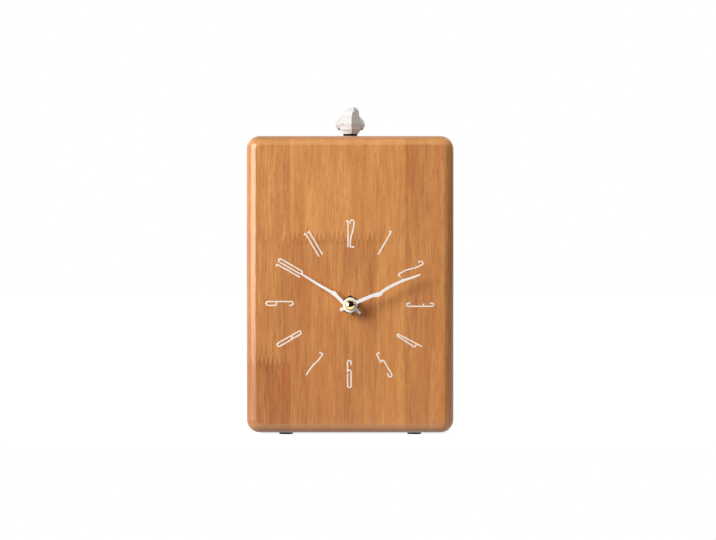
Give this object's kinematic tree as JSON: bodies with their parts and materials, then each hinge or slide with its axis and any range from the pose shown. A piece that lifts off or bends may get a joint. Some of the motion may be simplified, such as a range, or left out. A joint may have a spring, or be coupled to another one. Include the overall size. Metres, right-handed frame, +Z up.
{
  "type": "desk pendulum clock",
  "caption": "Wooden block desk clock with twig hands, a quartz movement in a rear pocket and a white bird on a swing arm as its pendulum.",
  "frame": {"origin": "on the table under the middle of the clock, with the hands counted in its depth", "axes": "+Z up, +X to the right as seen from the front, the dial faces -Y"},
  "size_m": [0.125, 0.0724, 0.1994],
  "materials": {
    "finger_jointed_wood": "satin clear lacquer over warm finger-jointed boards",
    "black_rubber": "matt moulded rubber",
    "white_lacquer": "satin white lacquer on stamped sheet",
    "brass": "turned and polished",
    "white_resin": "moulded, satin",
    "black_plastic": "moulded, fine texture",
    "natural_acetal": "moulded, bare",
    "steel": "bright drawn or punched",
    "copper_wire": "enamelled winding",
    "magnet": "sintered, nickel grey",
    "circuit_board": "solder resist",
    "cell_sleeve": "plain printed sleeve over the can, bare ends"
  },
  "bodies": {
    "case": {"wood_case": "finger_jointed_wood", "foot_pads": "black_rubber", "hex_nut": "brass", "rubber_washer": "black_rubber", "threaded_bush": "brass", "movement_front_shell": "black_plastic", "movement_rear_shell": "black_plastic", "stator": "steel", "motor_core": "steel", "motor_bobbin": "natural_acetal", "motor_winding": "copper_wire", "circuit_board": "circuit_board", "quartz_crystal": "steel", "driver_chip": "black_plastic", "contact_positive": "steel", "contact_negative": "steel", "drive_bobbin": "natural_acetal", "drive_winding": "copper_wire", "pivot_pin": "steel", "pivot_clip": "steel"},
    "minute_hand": {"minute_arbor": "steel", "minute_hand": "white_lacquer", "cap_nut": "brass"},
    "hour_hand": {"hour_wheel": "natural_acetal", "hour_hand": "white_lacquer"},
    "motion_work": {"motion_wheel": "natural_acetal"},
    "time_setting": {"setting_arbor": "natural_acetal", "setting_knob": "black_plastic"},
    "centre_wheel": {"centre_wheel": "natural_acetal"},
    "third_wheel": {"third_wheel": "natural_acetal"},
    "seconds_wheel": {"seconds_wheel": "natural_acetal"},
    "fifth_wheel": {"fifth_wheel": "natural_acetal"},
    "rotor": {"rotor_pinion": "natural_acetal", "rotor_magnet": "magnet"},
    "battery": {"battery": "cell_sleeve"},
    "pendulum": {"swing_arm": "black_plastic", "swing_magnet": "magnet", "counterweight": "steel", "bird": "white_resin"}
  },
  "joints": [
    {"name": "minute_turn", "type": "hinge", "parent": "case", "child": "minute_hand", "pos_m": [0, 0, 0.0784], "axis": [0, 1, 0], "continuous": true},
    {"name": "hour_turn", "type": "hinge", "parent": "case", "child": "hour_hand", "pos_m": [0, 0, 0.0784], "axis": [0, 1, 0], "continuous": true},
    {"name": "motion_turn", "type": "hinge", "parent": "case", "child": "motion_work", "pos_m": [0.011, 0, 0.0784], "axis": [0, 1, 0], "continuous": true},
    {"name": "setting_turn", "type": "hinge", "parent": "case", "child": "time_setting", "pos_m": [0.01807, 0, 0.08683], "axis": [0, 1, 0], "continuous": true},
    {"name": "seconds_turn", "type": "hinge", "parent": "case", "child": "seconds_wheel", "pos_m": [0, 0, 0.0784], "axis": [0, 1, 0], "continuous": true},
    {"name": "third_turn", "type": "hinge", "parent": "case", "child": "third_wheel", "pos_m": [0.0051, 0, 0.08723], "axis": [0, 1, 0], "continuous": true},
    {"name": "centre_turn", "type": "hinge", "parent": "case", "child": "centre_wheel", "pos_m": [0, 0, 0.0784], "axis": [0, 1, 0], "continuous": true},
    {"name": "fifth_turn", "type": "hinge", "parent": "case", "child": "fifth_wheel", "pos_m": [-0.00915, 0, 0.08368], "axis": [0, 1, 0], "continuous": true},
    {"name": "rotor_turn", "type": "hinge", "parent": "case", "child": "rotor", "pos_m": [-0.01742, 0, 0.08514], "axis": [0, 1, 0], "continuous": true},
    {"name": "pendulum_swing", "type": "hinge", "parent": "case", "child": "pendulum", "pos_m": [0, 0, 0.1404], "axis": [0, 1, 0], "range_deg": [-6, 6]},
    {"name": "battery_out", "type": "slide", "parent": "case", "child": "battery", "axis": [0, 1, 0], "range_m": [0, 0.045]}
  ],
  "couplings": [
    {"joint": "hour_turn", "follows": "minute_turn", "ratio": 0.083333},
    {"joint": "motion_turn", "follows": "minute_turn", "ratio": -0.33333},
    {"joint": "setting_turn", "follows": "minute_turn", "ratio": 1},
    {"joint": "third_turn", "follows": "seconds_turn", "ratio": -0.13333},
    {"joint": "centre_turn", "follows": "seconds_turn", "ratio": 0.016667},
    {"joint": "fifth_turn", "follows": "seconds_turn", "ratio": -5},
    {"joint": "rotor_turn", "follows": "seconds_turn", "ratio": 30}
  ]
}
